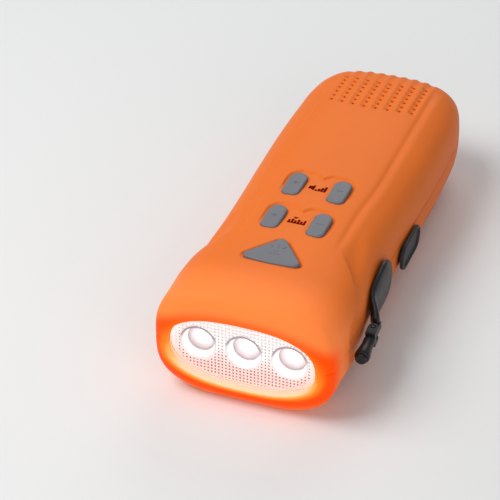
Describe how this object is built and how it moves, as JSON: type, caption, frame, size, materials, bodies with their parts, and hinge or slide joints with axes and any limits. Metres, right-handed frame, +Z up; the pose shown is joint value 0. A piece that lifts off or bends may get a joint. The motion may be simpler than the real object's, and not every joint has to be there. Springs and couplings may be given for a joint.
{
  "type": "hand crank flashlight radio",
  "caption": "Pocket radio and flashlight with a flared lamp head, soft keys, ribbed speaker grille, side ports and a folding side crank that turns a geared dynamo.",
  "frame": {"origin": "middle of the flat underside that the radio rests on, halfway between its two ends", "axes": "+Z up out of the top face, +Y from the lamp head to the speaker end, +X towards the crank side"},
  "size_m": [0.0645, 0.1589, 0.0385],
  "materials": {
    "orange_plastic": "fine satin moulded orange",
    "clear_plastic": "clear polished plastic",
    "silvered_plastic": "bright silvered",
    "led_resin": "clear cast resin",
    "board_laminate": "printed circuit laminate",
    "soft_grey_rubber": "soft matte grey",
    "switch_plastic": "black moulded",
    "chip_resin": "matte black resin",
    "screw_steel": "zinc plated",
    "speaker_steel": "pressed and plated",
    "speaker_paper": "matte black paper",
    "magnet_ferrite": "matte ferrite",
    "natural_plastic": "natural white moulded",
    "shaft_steel": "ground steel",
    "pinion_brass": "machined",
    "case_steel": "drawn and plated",
    "coil_copper": "enamelled copper wire",
    "crank_plastic": "charcoal satin moulded",
    "cover_rubber": "dark moulded rubber",
    "socket_steel": "bright folded steel",
    "jack_plastic": "black moulded",
    "cell_sleeve": "green shrink sleeve",
    "contact_steel": "nickel plated spring steel",
    "lead_sleeve": "thin black insulation"
  },
  "bodies": {
    "housing": {"top_shell": "orange_plastic", "bottom_shell": "orange_plastic", "lens_cover": "clear_plastic", "reflector": "silvered_plastic", "led_left": "led_resin", "led_middle": "led_resin", "led_right": "led_resin", "led_board": "board_laminate", "tune_down_switch": "switch_plastic", "tune_up_switch": "switch_plastic", "volume_down_switch": "switch_plastic", "volume_up_switch": "switch_plastic", "lamp_switch": "switch_plastic", "main_board": "board_laminate", "radio_chip": "chip_resin", "board_screw_1": "screw_steel", "board_screw_2": "screw_steel", "speaker_frame": "speaker_steel", "speaker_cone": "speaker_paper", "speaker_magnet": "magnet_ferrite", "gearbox_frame": "natural_plastic", "gearbox_cover": "natural_plastic", "gearbox_screw_front": "screw_steel", "gearbox_screw_rear": "screw_steel", "middle_axle": "shaft_steel", "dynamo_case": "case_steel", "dynamo_lid": "case_steel", "dynamo_coil": "coil_copper", "port_board": "board_laminate", "charge_socket": "socket_steel", "earphone_socket": "jack_plastic", "battery_cell": "cell_sleeve", "battery_contact_plus": "contact_steel", "battery_contact_minus": "contact_steel", "housing_screw_1": "screw_steel", "housing_screw_2": "screw_steel", "housing_screw_3": "screw_steel", "housing_screw_4": "screw_steel", "battery_lead_plus": "lead_sleeve", "battery_lead_minus": "lead_sleeve", "speaker_lead": "lead_sleeve", "dynamo_lead": "lead_sleeve", "lamp_lead": "lead_sleeve"},
    "crank": {"crank_arm": "crank_plastic", "crank_shaft": "shaft_steel", "drive_gear": "natural_plastic", "fold_pin": "shaft_steel"},
    "handle": {"handle_post": "crank_plastic", "knob_cap": "crank_plastic"},
    "knob": {"crank_knob": "crank_plastic"},
    "middle_wheel": {"middle_gear": "natural_plastic"},
    "rotor": {"dynamo_pinion": "pinion_brass", "rotor_shaft": "shaft_steel", "rotor_magnet": "magnet_ferrite"},
    "tune_down_button": {"tune_down_key": "soft_grey_rubber"},
    "tune_up_button": {"tune_up_key": "soft_grey_rubber"},
    "volume_down_button": {"volume_down_key": "soft_grey_rubber"},
    "volume_up_button": {"volume_up_key": "soft_grey_rubber"},
    "lamp_button": {"lamp_key": "soft_grey_rubber"},
    "port_door": {"port_cover": "cover_rubber"}
  },
  "joints": [
    {"name": "crank_spin", "type": "hinge", "parent": "housing", "child": "crank", "pos_m": [0, -0.0275, 0.019], "axis": [1, 0, 0], "continuous": true},
    {"name": "middle_gear_spin", "type": "hinge", "parent": "housing", "child": "middle_wheel", "pos_m": [0, -0.01689, 0.01493], "axis": [1, 0, 0], "continuous": true},
    {"name": "rotor_spin", "type": "hinge", "parent": "housing", "child": "rotor", "pos_m": [0, -0.00552, 0.01532], "axis": [1, 0, 0], "continuous": true},
    {"name": "knob_fold", "type": "hinge", "parent": "crank", "child": "handle", "pos_m": [0.0325, -0.05037, 0.0166], "axis": [0, -0.1045, 0.9945], "range_deg": [0, 90]},
    {"name": "knob_spin", "type": "hinge", "parent": "handle", "child": "knob", "pos_m": [0.0325, -0.05793, 0.0158], "axis": [0, -0.9945, -0.1045], "continuous": true},
    {"name": "tune_down_press", "type": "slide", "parent": "housing", "child": "tune_down_button", "axis": [0, 0, -1], "range_m": [0, 0.0008], "stiffness_N_per_m": 60},
    {"name": "tune_up_press", "type": "slide", "parent": "housing", "child": "tune_up_button", "axis": [0, 0, -1], "range_m": [0, 0.0008], "stiffness_N_per_m": 60},
    {"name": "volume_down_press", "type": "slide", "parent": "housing", "child": "volume_down_button", "axis": [0, 0, -1], "range_m": [0, 0.0008], "stiffness_N_per_m": 60},
    {"name": "volume_up_press", "type": "slide", "parent": "housing", "child": "volume_up_button", "axis": [0, 0, -1], "range_m": [0, 0.0008], "stiffness_N_per_m": 60},
    {"name": "lamp_press", "type": "slide", "parent": "housing", "child": "lamp_button", "axis": [0, 0, -1], "range_m": [0, 0.0008], "stiffness_N_per_m": 60},
    {"name": "port_door_hinge", "type": "hinge", "parent": "housing", "child": "port_door", "pos_m": [0.0291, 0.0105, 0.0148], "axis": [0, 0, 1], "range_deg": [0, 100]}
  ],
  "couplings": [
    {"joint": "middle_gear_spin", "follows": "crank_spin", "ratio": -4},
    {"joint": "rotor_spin", "follows": "crank_spin", "ratio": 16}
  ]
}
